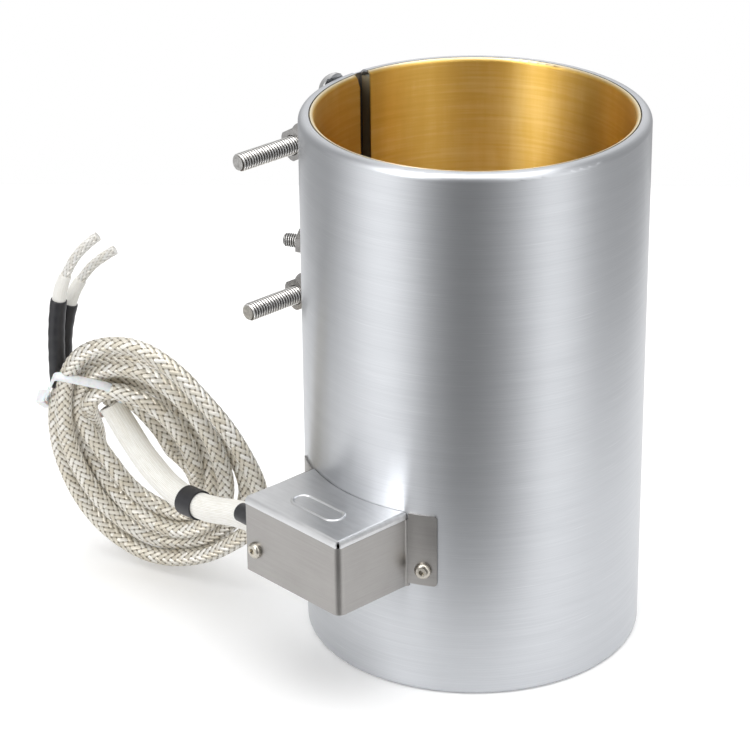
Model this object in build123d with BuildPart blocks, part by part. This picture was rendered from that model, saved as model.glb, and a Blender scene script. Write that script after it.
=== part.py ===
from build123d import *
from math import asin, cos, degrees, pi, radians, sin, sqrt, tan
import os

# Band heater: a split cylindrical jacket that clamps round a barrel or nozzle.
# Millimetres. The origin is on the bore axis at the bottom edge, +Z runs up the bore.
# The split faces -X, the terminal box faces -Y and the lead leaves the box towards -X.

# Driving dimensions of the band
bore_radius = 65.0
band_height = 230.0
wall_depth = 6.5
shell_sheet = 0.9
top_shoulder = 3.0
bottom_shoulder = 2.0
liner_sheet = 0.8
lip_flare = 1.6
lip_gap = 0.6
split_width = 6.6
split_azimuth = 180.0
box_azimuth = 270.0
mica_sheet = 0.6
element_sheet = 0.5
layer_gap = 0.05
seam_gap = 0.1
flap_lap = 2.2
joggle_length = 1.5
corner_cut_width = 1.9
corner_cut_height = 5.3

# Driving dimensions of the clamp
bolt_offset = 9.4
upper_bolt_drop = 29.0
bolt_spacing = 68.5
bolt_diameter = 8.0
bolt_pitch = 1.25
bolt_reaches = {"upper": 57.5, "lower": 54.5}
bolt_bore_clearance = 0.2
running_clearance = 0.05
sleeve_diameter = 14.0
sleeve_length = 13.5
sleeve_gap = 12.0
saddle_sheet = 1.2
saddle_foot = 5.0
washer_diameter = 16.0
washer_thickness = 1.6
nut_flats = 13.0
nut_height = 6.5
head_height = 5.3
edge_break = 0.8
corner_chamfer = 0.6

# Driving dimensions of the small fixings on the shell
domed_screw_azimuth = 189.3
domed_screw_drop = 6.3
domed_screw_diameter = 15.0
domed_screw_depth = 7.0
domed_screw_shank = 5.0
domed_screw_length = 3.0
earth_azimuth = 205.0
earth_rise = 29.5
earth_diameter = 6.0
earth_reach = 13.5
earth_nut_flats = 10.0
earth_nut_height = 5.0
earth_washer_diameter = 12.0
earth_washer_thickness = 1.2

# Driving dimensions of the terminal box
box_width = 57.0
box_depth = 32.5
box_bottom = 49.0
box_height = 33.5
box_sheet = 0.8
box_bend = 3.0
return_bend = 1.2
ear_bend = 1.5
ear_angle = 10.5
ear_trim = 1.5
lid_lip = 3.0
lid_bend = 2.0
lid_skew = 3.0
corner_relief = 1.5
return_width = 9.0
floor_rise = 4.0
box_screw_head = 7.0
box_screw_shank = 3.5
box_screw_dome = 2.2
box_screw_length = 4.5
ear_screw_inset = 5.9
ear_screw_height = 8.4
front_screw_inset = 6.8
front_screw_height = 11.1

# Driving dimensions of the parts inside the terminal box
block_width = 34.0
block_height = 14.0
block_depth = 9.0
post_spacing = 18.0
post_diameter = 4.0
post_reach = 8.0
boss_diameter = 8.0
post_nut_flats = 7.0
post_nut_height = 3.2
ring_diameter = 8.0
ring_sheet = 0.8

# Driving dimensions of the lead, its outlet and its ends
sleeve_tube_diameter = 11.6
outlet_inset = 16.0
outlet_rise = 12.5
grommet_wall = 1.1
grommet_flange = 1.5
cap_diameter = 8.0
cap_reach = 9.0
cap_inset = 5.5
cap_rise = 21.0
inner_lead_diameter = 3.2
inner_lead_spread = 2.0
inner_lead_bend = 2.0
inner_lead_drops = {"left": 4.1, "right": 4.4}
inner_lead_turns = {"left": 11.5, "right": 10.5}
inner_lead_sag = 3.5
inner_lead_reach = 15.0
sleeve_start_depth = 4.5
band_length = 9.5
band_wall = 0.7
coil_radius = 43.5
coil_half_width = 13.0
coil_half_depth = 11.0
coil_azimuth = 20.0
coil_lean = 10.0
coil_x = -121.7
coil_y = -79.4
floor_clearance = 0.3
tie_angle = 141.0
tie_width = 4.8
tie_thickness = 1.4
tie_head = 7.0
shrink_diameters = {"left": 7.4, "right": 7.2}
tail_sleeve_diameter = 6.0
tail_lead_diameter = 4.3

# Sizes that follow from the driving dimensions
shell_radius = bore_radius + wall_depth
upper_bolt_height = band_height - upper_bolt_drop
bolt_heights = {"upper": upper_bolt_height, "lower": upper_bolt_height - bolt_spacing}
earth_height = bolt_heights["lower"] + earth_rise
domed_screw_height = band_height - domed_screw_drop
rim_edge_radius = bore_radius + lip_flare + lip_gap
shell_inner_radius = shell_radius - shell_sheet
split_half = degrees(asin(split_width / 2 / shell_radius))
band_arc = 360.0 - 2 * split_half
bolt_x = -(shell_radius + bolt_offset)
sleeve_near = sleeve_gap / 2
sleeve_far = sleeve_near + sleeve_length
box_front = -(shell_radius + box_depth)
box_top = box_bottom + box_height
half_box = box_width / 2
floor_level = box_bottom + floor_rise
on_shell = shell_radius + layer_gap
sheet_line = on_shell + box_sheet / 2
wall_x = half_box - box_sheet / 2
wall_end_angle = degrees(asin(wall_x / sheet_line))
ear_screw_azimuth = wall_end_angle + ear_screw_inset


def clear_angle(length, radius):
    """Angle in degrees that an arc of this length takes at this radius."""
    return degrees(length / radius)


def band_plane(azimuth):
    """Upright plane through the bore axis: local x is the radius, local y is the height."""
    return Plane.XZ.rotated((0, 0, azimuth))


def bolt_plane(y, z):
    """Plane across a clamp bolt; extruding from it goes towards the bolt's tip, along -Y."""
    return Plane(origin=(bolt_x, y, z), x_dir=(1, 0, 0), z_dir=(0, -1, 0))


def radial_plane(azimuth, height, radius):
    """Plane on the shell at an azimuth and height; extruding from it goes outwards."""
    direction = Vector(cos(radians(azimuth)), sin(radians(azimuth)), 0)
    return Plane(origin=direction * radius + Vector(0, 0, height), x_dir=(0, 0, 1), z_dir=direction)


def finish(part, name):
    """Label one sub-part and write it to its own file."""
    part.label = name
    export_step(part, "parts/" + name + ".step")


os.makedirs("parts", exist_ok=True)

# Places that several pieces share
ear_screw_places = [
    radial_plane(box_azimuth - ear_screw_azimuth, box_bottom + ear_screw_height, on_shell + box_sheet),
    radial_plane(box_azimuth + ear_screw_azimuth, box_bottom + ear_screw_height, on_shell + box_sheet),
]
front_screw_place = Plane(
    origin=(-half_box + front_screw_inset, box_front, box_bottom + front_screw_height),
    x_dir=(0, 0, 1),
    z_dir=(0, -1, 0),
)
post_height = (box_bottom + box_top) / 2
post_places = [(-post_spacing / 2, post_height), (post_spacing / 2, post_height)]
screw_hole_radius = box_screw_shank / 2 + seam_gap
flap_radius = shell_radius + seam_gap
flap_outer_radius = flap_radius + shell_sheet
shell_hole_places = [
    (radial_plane(earth_azimuth, earth_height, shell_radius + 1), earth_diameter / 2 + seam_gap),
    (
        radial_plane(domed_screw_azimuth, domed_screw_height, shell_radius + 1),
        domed_screw_shank / 2 + seam_gap,
    ),
]


# Outer shell: one sheet rolled into a split channel, with a flap that laps over the split
flap_start = split_azimuth - split_half - clear_angle(joggle_length + 0.6, shell_radius)
flap_end = split_azimuth + split_half + clear_angle(flap_lap, shell_radius)
with BuildPart() as outer_shell:
    with BuildSketch(band_plane(split_azimuth + split_half)) as channel:
        with Locations(((rim_edge_radius + shell_radius) / 2, band_height / 2)):
            Rectangle(shell_radius - rim_edge_radius, band_height)
        outer_corners = channel.vertices().group_by(Axis.X)[-1].sort_by(Axis.Y)
        fillet(outer_corners[1], top_shoulder)
        fillet(channel.vertices().sort_by_distance((shell_radius, 0))[0], bottom_shoulder)
        with BuildSketch(mode=Mode.PRIVATE) as hollow:
            with Locations(((rim_edge_radius + shell_inner_radius) / 2 - 1, band_height / 2)):
                Rectangle(shell_inner_radius - rim_edge_radius + 2, band_height - 2 * shell_sheet)
            fillet(hollow.vertices().group_by(Axis.X)[-1].sort_by(Axis.Y)[1], top_shoulder - shell_sheet)
            near_bottom = hollow.vertices().sort_by_distance((shell_inner_radius, 0))[0]
            fillet(near_bottom, bottom_shoulder - shell_sheet)
        add(hollow.sketch, mode=Mode.SUBTRACT)
    revolve(axis=Axis.Z, revolution_arc=band_arc)
    with BuildSketch(band_plane(flap_start)):
        with Locations((flap_radius + shell_sheet / 2, band_height / 2)):
            Rectangle(shell_sheet, band_height - 2 * bottom_shoulder)
    revolve(axis=Axis.Z, revolution_arc=flap_end - flap_start)
    with BuildSketch(band_plane(flap_start)):
        with Locations(((shell_inner_radius + flap_radius + shell_sheet) / 2, band_height / 2)):
            Rectangle(flap_radius + shell_sheet - shell_inner_radius, band_height - 2 * bottom_shoulder)
    revolve(axis=Axis.Z, revolution_arc=clear_angle(joggle_length, shell_radius))
    for place in ear_screw_places:
        with BuildSketch(place):
            Circle(screw_hole_radius)
        extrude(amount=-2 * wall_depth, mode=Mode.SUBTRACT)
    for place, radius in shell_hole_places:
        with BuildSketch(place):
            Circle(radius)
        extrude(amount=-wall_depth / 2, mode=Mode.SUBTRACT)
    with BuildSketch(Plane.XZ.offset(shell_radius + 1)):
        with Locations(*post_places):
            Circle(boss_diameter / 2 + seam_gap)
    extrude(amount=-wall_depth, mode=Mode.SUBTRACT)
finish(outer_shell.part, "outer_shell")

# Inner liner: brass sheet with flared lips, turned out at both sides of the split
lip_centre_radius = bore_radius + lip_flare
return_edge = shell_inner_radius - seam_gap
return_arc = clear_angle(liner_sheet, bore_radius)
with BuildPart() as inner_liner:
    with BuildSketch(band_plane(split_azimuth + split_half)):
        with BuildLine():
            low_lip = CenterArc((lip_centre_radius, lip_flare), lip_flare, 180, 90)
            Line(low_lip @ 0, (bore_radius, band_height - lip_flare))
            high_lip = CenterArc((lip_centre_radius, band_height - lip_flare), lip_flare, 90, 90)
            high_back = CenterArc(
                (lip_centre_radius, band_height - lip_flare), lip_flare - liner_sheet, 90, 90
            )
            low_back = CenterArc((lip_centre_radius, lip_flare), lip_flare - liner_sheet, 180, 90)
            Line(high_lip @ 0, high_back @ 0)
            Line(high_back @ 1, low_back @ 0)
            Line(low_back @ 1, low_lip @ 1)
        make_face()
    revolve(axis=Axis.Z, revolution_arc=band_arc)
    for start in (split_azimuth + split_half, split_azimuth - split_half - return_arc):
        with BuildSketch(band_plane(start)):
            with Locations(((bore_radius + return_edge) / 2, band_height / 2)):
                Rectangle(return_edge - bore_radius, band_height - 2 * top_shoulder)
        revolve(axis=Axis.Z, revolution_arc=return_arc)
    split_edge = -shell_radius * sin(radians(split_half))
    with BuildSketch(Plane.YZ.offset(-shell_radius)):
        with BuildLine():
            Polyline(
                (split_edge + 1, band_height + 1),
                (split_edge - corner_cut_width, band_height + 1),
                (split_edge + 0.2, band_height - corner_cut_height),
                (split_edge + 1, band_height - corner_cut_height),
                close=True,
            )
        make_face()
    extrude(amount=2 * wall_depth, mode=Mode.SUBTRACT)
finish(inner_liner.part, "inner_liner")

# Layers between the liner and the shell, from the inside outwards
layer_margin = max(lip_flare, top_shoulder) + 2 * seam_gap
layer_inset = return_arc + clear_angle(seam_gap, bore_radius)
layer_arc = band_arc - 2 * layer_inset
inner_mica_radius = bore_radius + liner_sheet + layer_gap
element_radius = inner_mica_radius + mica_sheet + layer_gap
outer_mica_radius = element_radius + element_sheet + layer_gap
blanket_radius = outer_mica_radius + mica_sheet + layer_gap
blanket_outer_radius = shell_inner_radius - seam_gap
layers = [
    ("inner_mica", inner_mica_radius, inner_mica_radius + mica_sheet),
    ("heating_element", element_radius, element_radius + element_sheet),
    ("outer_mica", outer_mica_radius, outer_mica_radius + mica_sheet),
    ("insulation_blanket", blanket_radius, blanket_outer_radius),
]
for layer_name, layer_inner, layer_outer in layers:
    with BuildPart() as layer:
        with BuildSketch(band_plane(split_azimuth + split_half + layer_inset)):
            with Locations(((layer_inner + layer_outer) / 2, band_height / 2)):
                Rectangle(layer_outer - layer_inner, band_height - 2 * layer_margin)
        revolve(axis=Axis.Z, revolution_arc=layer_arc)
        if layer_name == "outer_mica":
            with BuildSketch(Plane.XZ.offset(shell_radius)):
                with Locations(*post_places):
                    Circle(post_diameter / 2 + seam_gap)
            extrude(amount=-wall_depth, mode=Mode.SUBTRACT)
        if layer_name == "insulation_blanket":
            with BuildSketch(Plane.XZ.offset(shell_radius)):
                with Locations(*post_places):
                    Circle(boss_diameter / 2 + seam_gap)
            extrude(amount=-wall_depth, mode=Mode.SUBTRACT)
            for place in ear_screw_places:
                with BuildSketch(place):
                    Circle(screw_hole_radius)
                extrude(amount=-wall_depth, mode=Mode.SUBTRACT)
            for place, radius in shell_hole_places:
                with BuildSketch(place):
                    Circle(radius)
                extrude(amount=-wall_depth / 2 - 1, mode=Mode.SUBTRACT)
    finish(layer.part, layer_name)

# Clamp lugs: a steel sleeve along the bolt, held down on the shell by a pressed saddle
sleeve_radius = sleeve_diameter / 2
saddle_inner = sleeve_radius + layer_gap
saddle_outer = saddle_inner + saddle_sheet
foot_half = saddle_outer + saddle_foot
bolt_radius = bolt_diameter / 2
for level, bolt_z in bolt_heights.items():
    for side, start_y in (("left", -sleeve_near), ("right", sleeve_far)):
        with BuildPart() as sleeve:
            with BuildSketch(bolt_plane(start_y, bolt_z)):
                Circle(sleeve_radius)
                Circle(bolt_radius + bolt_bore_clearance, mode=Mode.SUBTRACT)
            extrude(amount=sleeve_length)
            chamfer(sleeve.edges().filter_by(GeomType.CIRCLE).group_by(SortBy.RADIUS)[-1], edge_break / 2)
        finish(sleeve.part, level + "_" + side + "_sleeve")

        with BuildPart() as saddle:
            with BuildSketch(bolt_plane(start_y, bolt_z)):
                Circle(saddle_outer)
                Rectangle(bolt_offset + wall_depth, 2 * saddle_outer, align=(Align.MIN, Align.CENTER))
                Circle(saddle_inner, mode=Mode.SUBTRACT)
                Rectangle(
                    bolt_offset + wall_depth,
                    2 * saddle_inner,
                    align=(Align.MIN, Align.CENTER),
                    mode=Mode.SUBTRACT,
                )
            extrude(amount=sleeve_length)
            with BuildSketch(Plane.XY):
                Circle(on_shell)
            extrude(amount=band_height, mode=Mode.SUBTRACT)
            near_angle = degrees(asin(sleeve_near / on_shell))
            far_angle = degrees(asin(sleeve_far / on_shell))
            first_azimuth = split_azimuth + near_angle if side == "left" else split_azimuth - far_angle
            with BuildSketch(band_plane(first_azimuth)):
                for foot_rise in (-1, 1):
                    foot_middle = bolt_z + foot_rise * (saddle_inner + foot_half) / 2
                    with Locations((on_shell + saddle_sheet / 2, foot_middle)):
                        Rectangle(saddle_sheet, foot_half - saddle_inner)
            revolve(axis=Axis.Z, revolution_arc=far_angle - near_angle)
        finish(saddle.part, level + "_" + side + "_saddle")

# Clamp bolts: hexagon head on the right-hand lug, tip towards -Y
head_face = sleeve_far + washer_thickness
with BuildPart() as clamp_bolts:
    for bolt_z in bolt_heights.values():
        with BuildSketch(bolt_plane(head_face + head_height, bolt_z)):
            Circle(nut_flats / sqrt(3))
        extrude(amount=head_height)
    chamfer(clamp_bolts.edges().filter_by(GeomType.CIRCLE).group_by(Axis.Y)[-1], corner_chamfer)
    with BuildSketch(bolt_plane(head_face + head_height, 0)):
        with Locations(*[(0, bolt_z) for bolt_z in bolt_heights.values()]):
            RegularPolygon(nut_flats / 2, 6, major_radius=False, rotation=30)
    extrude(amount=head_height, mode=Mode.INTERSECT)
    for level, bolt_z in bolt_heights.items():
        with BuildSketch(bolt_plane(head_face, bolt_z)):
            Circle(bolt_radius)
        extrude(amount=head_face + bolt_reaches[level])
    for level, bolt_z in bolt_heights.items():
        bolt_tip = (bolt_x, -bolt_reaches[level], bolt_z)
        chamfer(clamp_bolts.faces().sort_by_distance(bolt_tip)[0].edges(), edge_break)
finish(clamp_bolts.part, "clamp_bolts")

with BuildPart() as head_washers:
    for bolt_z in bolt_heights.values():
        with BuildSketch(bolt_plane(head_face, bolt_z)):
            Circle(washer_diameter / 2)
            Circle(bolt_radius + bolt_bore_clearance, mode=Mode.SUBTRACT)
        extrude(amount=washer_thickness)
finish(head_washers.part, "head_washers")

# Washer and nut on each bolt's tip: they back off along the thread
nut_face = -(sleeve_far + washer_thickness)
for level, bolt_z in bolt_heights.items():
    with BuildPart() as washer:
        with BuildSketch(bolt_plane(-sleeve_far, bolt_z)):
            Circle(washer_diameter / 2)
            Circle(bolt_radius + running_clearance, mode=Mode.SUBTRACT)
        extrude(amount=washer_thickness)
    finish(washer.part, level + "_washer")

    with BuildPart() as nut:
        with BuildSketch(bolt_plane(nut_face, bolt_z)):
            Circle(nut_flats / sqrt(3))
        extrude(amount=nut_height)
        chamfer(nut.edges().filter_by(GeomType.CIRCLE), corner_chamfer)
        with BuildSketch(bolt_plane(nut_face, bolt_z)):
            RegularPolygon(nut_flats / 2, 6, major_radius=False, rotation=30)
        extrude(amount=nut_height, mode=Mode.INTERSECT)
        with BuildSketch(bolt_plane(nut_face, bolt_z)):
            Circle(bolt_radius + running_clearance)
        extrude(amount=nut_height, mode=Mode.SUBTRACT)
        mouths = nut.edges().filter_by(GeomType.CIRCLE).group_by(SortBy.RADIUS)[0]
        chamfer(mouths, edge_break / 2)
    finish(nut.part, level + "_nut")

# Domed screw whose head holds the flap's edge down beside the split
domed_radius = domed_screw_diameter / 2
dome_rise = domed_screw_depth - 1.5
dome_radius = (domed_radius**2 + dome_rise**2) / (2 * dome_rise)
with BuildPart() as domed_screw:
    place = radial_plane(domed_screw_azimuth, domed_screw_height, on_shell)
    with BuildSketch(Plane(origin=place.origin, x_dir=place.x_dir, z_dir=place.y_dir * -1)):
        with BuildLine():
            base = Polyline((0, 0), (domed_radius, 0), (domed_radius, 1.5))
            RadiusArc(base @ 1, (0, domed_screw_depth), -dome_radius)
            Line((0, domed_screw_depth), (0, 0))
        make_face()
    revolve(axis=Axis(place.origin, place.z_dir))
    with BuildSketch(Plane.XY):
        Circle(flap_outer_radius + layer_gap)
    extrude(amount=band_height, mode=Mode.SUBTRACT)
    with BuildSketch(place.offset(dome_rise / 2)):
        Circle(domed_screw_shank / 2)
    extrude(amount=-dome_rise / 2 - domed_screw_length)
finish(domed_screw.part, "domed_screw")

# Earth stud with its washer and nut
earth_place = radial_plane(earth_azimuth, earth_height, on_shell)
stud_root = radial_plane(earth_azimuth, earth_height, shell_inner_radius - 1.5)
with BuildPart() as earth_stud:
    with BuildSketch(stud_root):
        Circle(earth_diameter / 2)
    extrude(amount=shell_sheet + 1.5 + earth_reach)
    stud_tip = earth_place.offset(earth_reach).origin
    chamfer(earth_stud.faces().sort_by_distance(stud_tip)[0].edges(), edge_break)
finish(earth_stud.part, "earth_stud")

with BuildPart() as earth_washer:
    with BuildSketch(earth_place.offset(0.5)):
        Circle(earth_washer_diameter / 2)
        Circle(earth_diameter / 2 + running_clearance, mode=Mode.SUBTRACT)
    extrude(amount=earth_washer_thickness)
    with BuildSketch(Plane.XY):
        Circle(on_shell)
    extrude(amount=band_height, mode=Mode.SUBTRACT)
finish(earth_washer.part, "earth_washer")

with BuildPart() as earth_nut:
    with BuildSketch(earth_place.offset(0.5 + earth_washer_thickness)):
        RegularPolygon(earth_nut_flats / 2, 6, major_radius=False)
        Circle(earth_diameter / 2 + running_clearance, mode=Mode.SUBTRACT)
    extrude(amount=earth_nut_height)
finish(earth_nut.part, "earth_nut")

# Terminal box: body with the left wall, floor and left ear
wall_end_y = -sheet_line * cos(radians(wall_end_angle))
flange_y = box_front + box_sheet * 1.5 + seam_gap
outlet_place = Plane(
    origin=(-half_box, box_front + outlet_inset, box_bottom + outlet_rise), x_dir=(0, 1, 0), z_dir=(-1, 0, 0)
)
cap_place = Plane(
    origin=(-half_box, box_front + cap_inset, box_bottom + cap_rise), x_dir=(0, 1, 0), z_dir=(-1, 0, 0)
)
sleeve_tube_radius = sleeve_tube_diameter / 2
outlet_hole_radius = sleeve_tube_radius + grommet_wall + seam_gap
cap_hole_radius = cap_diameter / 2 - 0.6
with BuildPart() as box_body:
    with BuildSketch(Plane.XY.offset(floor_level)):
        with BuildLine() as body_line:
            Polyline((-half_box + return_width, flange_y), (-wall_x, flange_y), (-wall_x, wall_end_y))
            CenterArc((0, 0), sheet_line, box_azimuth - wall_end_angle, -ear_angle)
            fillet(body_line.vertices().sort_by_distance((-wall_x, flange_y))[0], return_bend)
            fillet(body_line.vertices().sort_by_distance((-wall_x, wall_end_y))[0], ear_bend)
        trace(line_width=box_sheet)
    extrude(amount=box_top - box_sheet - seam_gap - floor_level)
    with BuildSketch(Plane.XY.offset(floor_level)) as floor_outline:
        with Locations((0, (box_front + box_sheet + seam_gap) / 2)):
            Rectangle(box_width - 2 * box_sheet - 2 * seam_gap, -(box_front + box_sheet + seam_gap))
        fillet(floor_outline.vertices().sort_by_distance((half_box, box_front))[0], box_bend)
        with Locations((-half_box + box_sheet, box_front / 2)):
            Rectangle(2 * box_sheet, -box_front - 2 * box_bend, align=(Align.MIN, Align.CENTER))
        Circle(on_shell, mode=Mode.SUBTRACT)
    extrude(amount=box_sheet)
    with BuildSketch(Plane.XY.offset(box_top - lid_lip - seam_gap)):
        with Locations((-half_box + box_sheet - seam_gap, box_front)):
            Rectangle(box_width, flange_y + box_sheet - box_front, align=(Align.MIN, Align.MIN))
    extrude(amount=lid_lip, mode=Mode.SUBTRACT)
    for place, radius in ((outlet_place, outlet_hole_radius), (cap_place, cap_hole_radius)):
        with BuildSketch(place.offset(1)):
            Circle(radius)
        extrude(amount=-box_sheet - 2, mode=Mode.SUBTRACT)
    with BuildSketch(front_screw_place):
        Circle(screw_hole_radius)
    extrude(amount=-4 * box_sheet, mode=Mode.SUBTRACT)
    with BuildSketch(ear_screw_places[0].offset(1)):
        Circle(screw_hole_radius)
    extrude(amount=-wall_depth, mode=Mode.SUBTRACT)
finish(box_body.part, "box_body")

# Terminal box: cover with the front, the right wall and the right ear in one folded sheet
wall_top = box_top - lid_lip - seam_gap
with BuildPart() as box_cover:
    with BuildSketch(Plane.XY.offset(box_bottom)):
        with BuildLine() as cover_line:
            Polyline(
                (-half_box + return_bend, box_front + box_sheet / 2),
                (wall_x, box_front + box_sheet / 2),
                (wall_x, wall_end_y),
            )
            CenterArc((0, 0), sheet_line, box_azimuth + wall_end_angle, ear_angle)
            fillet(cover_line.vertices().sort_by_distance((wall_x, box_front))[0], box_bend)
            fillet(cover_line.vertices().sort_by_distance((wall_x, wall_end_y))[0], ear_bend)
        trace(line_width=box_sheet)
    extrude(amount=box_height)
    ear_limit = half_box + ear_bend / 2
    with BuildSketch(Plane.XY.offset(wall_top)):
        with Locations((-box_width, box_front - 1)):
            Rectangle(box_width + ear_limit, -box_front, align=(Align.MIN, Align.MIN))
    extrude(amount=box_height, mode=Mode.SUBTRACT)
    with BuildSketch(Plane.XY.offset(box_bottom)):
        with Locations((ear_limit, box_front)):
            Rectangle(box_width, -box_front, align=(Align.MIN, Align.MIN))
    extrude(amount=ear_trim, mode=Mode.SUBTRACT)
    ear_end = radial_plane(box_azimuth + wall_end_angle + ear_angle, 0, sheet_line).origin
    ear_corners = box_cover.edges().filter_by(
        lambda edge: abs(Vector(edge.center().X, edge.center().Y, 0).sub(ear_end).length) < 0.1
        and abs(edge.length - box_sheet) < 0.01
    )
    fillet(ear_corners, ear_bend)
    with BuildSketch(front_screw_place.offset(1)):
        Circle(screw_hole_radius)
    extrude(amount=-box_sheet - 1.1, mode=Mode.SUBTRACT)
    with BuildSketch(ear_screw_places[1].offset(1)):
        Circle(screw_hole_radius)
    extrude(amount=-wall_depth, mode=Mode.SUBTRACT)
finish(box_cover.part, "box_cover")

# Terminal box: lid with turned-down lips at the front and the right
lid_rear = on_shell + 2 * seam_gap
with BuildPart() as box_lid:
    with BuildSketch(Plane.XY.offset(box_top - lid_lip)):
        with BuildLine():
            Polyline(
                (-half_box + box_sheet, box_front),
                (half_box, box_front),
                (half_box, 0),
                (-half_box + box_sheet + lid_skew, 0),
                close=True,
            )
        make_face()
        Circle(lid_rear, mode=Mode.SUBTRACT)
    extrude(amount=lid_lip)
    top_edges = box_lid.faces().sort_by(Axis.Z)[-1].edges()
    bent_edges = [top_edges.sort_by(Axis.Y)[0], top_edges.filter_by(Axis.Y).sort_by(Axis.X)[-1]]
    fillet(bent_edges, lid_bend)
    with BuildPart(mode=Mode.PRIVATE) as lid_hollow:
        with BuildSketch(Plane.XY.offset(box_top - lid_lip - 1)):
            with Locations((-box_width, box_front + box_sheet)):
                Rectangle(box_width + half_box - box_sheet, -box_front, align=(Align.MIN, Align.MIN))
        extrude(amount=lid_lip + 1 - box_sheet)
        hollow_top = lid_hollow.faces().sort_by(Axis.Z)[-1].edges()
        fillet([hollow_top.sort_by(Axis.Y)[0], hollow_top.sort_by(Axis.X)[-1]], lid_bend - box_sheet)
    add(lid_hollow.part, mode=Mode.SUBTRACT)
    with BuildSketch(Plane.XY.offset(box_top - lid_lip)):
        with Locations((half_box, box_front)):
            Rectangle(2 * corner_relief, 2 * corner_relief)
    extrude(amount=lid_lip, mode=Mode.SUBTRACT)
finish(box_lid.part, "box_lid")

# Box screws: one in each ear and one in the front
with BuildPart() as box_screws:
    for place in ear_screw_places + [front_screw_place]:
        with BuildSketch(place):
            Circle(box_screw_head / 2)
        extrude(amount=box_screw_dome)
        with BuildSketch(place):
            Circle(box_screw_shank / 2)
        extrude(amount=-box_screw_length)
    for place in ear_screw_places + [front_screw_place]:
        crown = box_screws.faces().sort_by_distance(place.origin + place.z_dir * box_screw_dome)[0]
        fillet(crown.edges(), box_screw_dome * 0.7)
    for place in ear_screw_places + [front_screw_place]:
        with BuildSketch(place.offset(box_screw_dome)):
            RegularPolygon(box_screw_head * 0.2, 6)
        extrude(amount=-box_screw_dome * 0.6, mode=Mode.SUBTRACT)
finish(box_screws.part, "box_screws")

# Ceramic terminal block on the shell, with bosses down to the heater's outer mica
block_back = outer_mica_radius + mica_sheet + layer_gap
with BuildPart() as terminal_block:
    with BuildSketch(Plane.XZ.offset(shell_radius + block_depth)):
        with Locations((0, post_height)):
            RectangleRounded(block_width, block_height, edge_break)
    extrude(amount=-wall_depth - block_depth)
    with BuildSketch(Plane.XY):
        Circle(on_shell)
    extrude(amount=band_height, mode=Mode.SUBTRACT)
    with BuildSketch(Plane.XZ.offset(shell_radius)):
        with Locations(*post_places):
            Circle(boss_diameter / 2)
    extrude(amount=block_back - shell_radius)
    with BuildSketch(Plane.XZ.offset(shell_radius + block_depth)):
        with Locations(*post_places):
            Circle(post_diameter / 2 + seam_gap)
    extrude(amount=-wall_depth - block_depth, mode=Mode.SUBTRACT)
    with BuildSketch(Plane.XY.offset(post_height - block_height)):
        Circle(block_back + layer_gap)
    extrude(amount=2 * block_height, mode=Mode.SUBTRACT)
finish(terminal_block.part, "terminal_block")

with BuildPart() as terminal_posts:
    with BuildSketch(Plane.XZ.offset(shell_radius + block_depth + post_reach)):
        with Locations(*post_places):
            Circle(post_diameter / 2)
    extrude(amount=-wall_depth - block_depth - post_reach)
    with BuildSketch(Plane.XY.offset(post_height - block_height)):
        Circle(outer_mica_radius)
    extrude(amount=2 * block_height, mode=Mode.SUBTRACT)
finish(terminal_posts.part, "terminal_posts")

with BuildPart() as ring_terminals:
    with BuildSketch(Plane.XZ.offset(shell_radius + block_depth)):
        with Locations(*post_places):
            Circle(ring_diameter / 2)
            Circle(post_diameter / 2 + seam_gap, mode=Mode.SUBTRACT)
    extrude(amount=ring_sheet)
finish(ring_terminals.part, "ring_terminals")

with BuildPart() as terminal_nuts:
    with BuildSketch(Plane.XZ.offset(shell_radius + block_depth + ring_sheet)):
        with Locations(*post_places):
            RegularPolygon(post_nut_flats / 2, 6, major_radius=False)
            Circle(post_diameter / 2 + running_clearance, mode=Mode.SUBTRACT)
    extrude(amount=post_nut_height)
finish(terminal_nuts.part, "terminal_nuts")


def soft_radii(points):
    """Largest tangent arc at each corner: 0.45 of the shorter run over the tangent of half the turn."""
    radii = []
    for before, corner, after in zip(points, points[1:], points[2:]):
        first = Vector(*corner) - Vector(*before)
        second = Vector(*after) - Vector(*corner)
        turn = radians(first.get_angle(second))
        radii.append(0.45 * min(first.length, second.length) / tan(turn / 2))
    return radii


def cord_tube(points, diameter, name):
    """Round tube along straight runs joined by tangent arcs."""
    radii = soft_radii(points)
    with BuildPart() as tube:
        with BuildLine() as route:
            FilletPolyline(*points, radius=radii)
        first_run = Vector(*points[1]) - Vector(*points[0])
        with BuildSketch(Plane(origin=points[0], z_dir=first_run)) as section:
            Circle(diameter / 2)
        sweep(path=route.wire())
    expected = pi * diameter**2 / 4 * route.wire().length
    print(name, "radii", [round(r, 1) for r in radii], "length", round(route.wire().length, 1))
    print(name, "volume ratio", round(tube.part.volume / expected, 4))
    return tube.part


def between(first, second, share):
    """Point part of the way along a run, so that two pieces meet square to it."""
    return tuple(a + (b - a) * share for a, b in zip(first, second))


# Grommet in the left wall and the capped spare outlet beside it
with BuildPart() as outlet_grommet:
    with BuildSketch(outlet_place):
        Circle(outlet_hole_radius + grommet_flange)
    extrude(amount=grommet_flange)
    with BuildSketch(outlet_place):
        Circle(outlet_hole_radius - seam_gap)
    extrude(amount=-box_sheet)
    with BuildSketch(outlet_place.offset(-box_sheet)):
        Circle(outlet_hole_radius + grommet_flange / 3)
    extrude(amount=-grommet_flange)
    with BuildSketch(outlet_place.offset(grommet_flange)):
        Circle(sleeve_tube_radius + running_clearance)
    extrude(amount=-box_sheet - 2 * grommet_flange, mode=Mode.SUBTRACT)
finish(outlet_grommet.part, "outlet_grommet")

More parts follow.
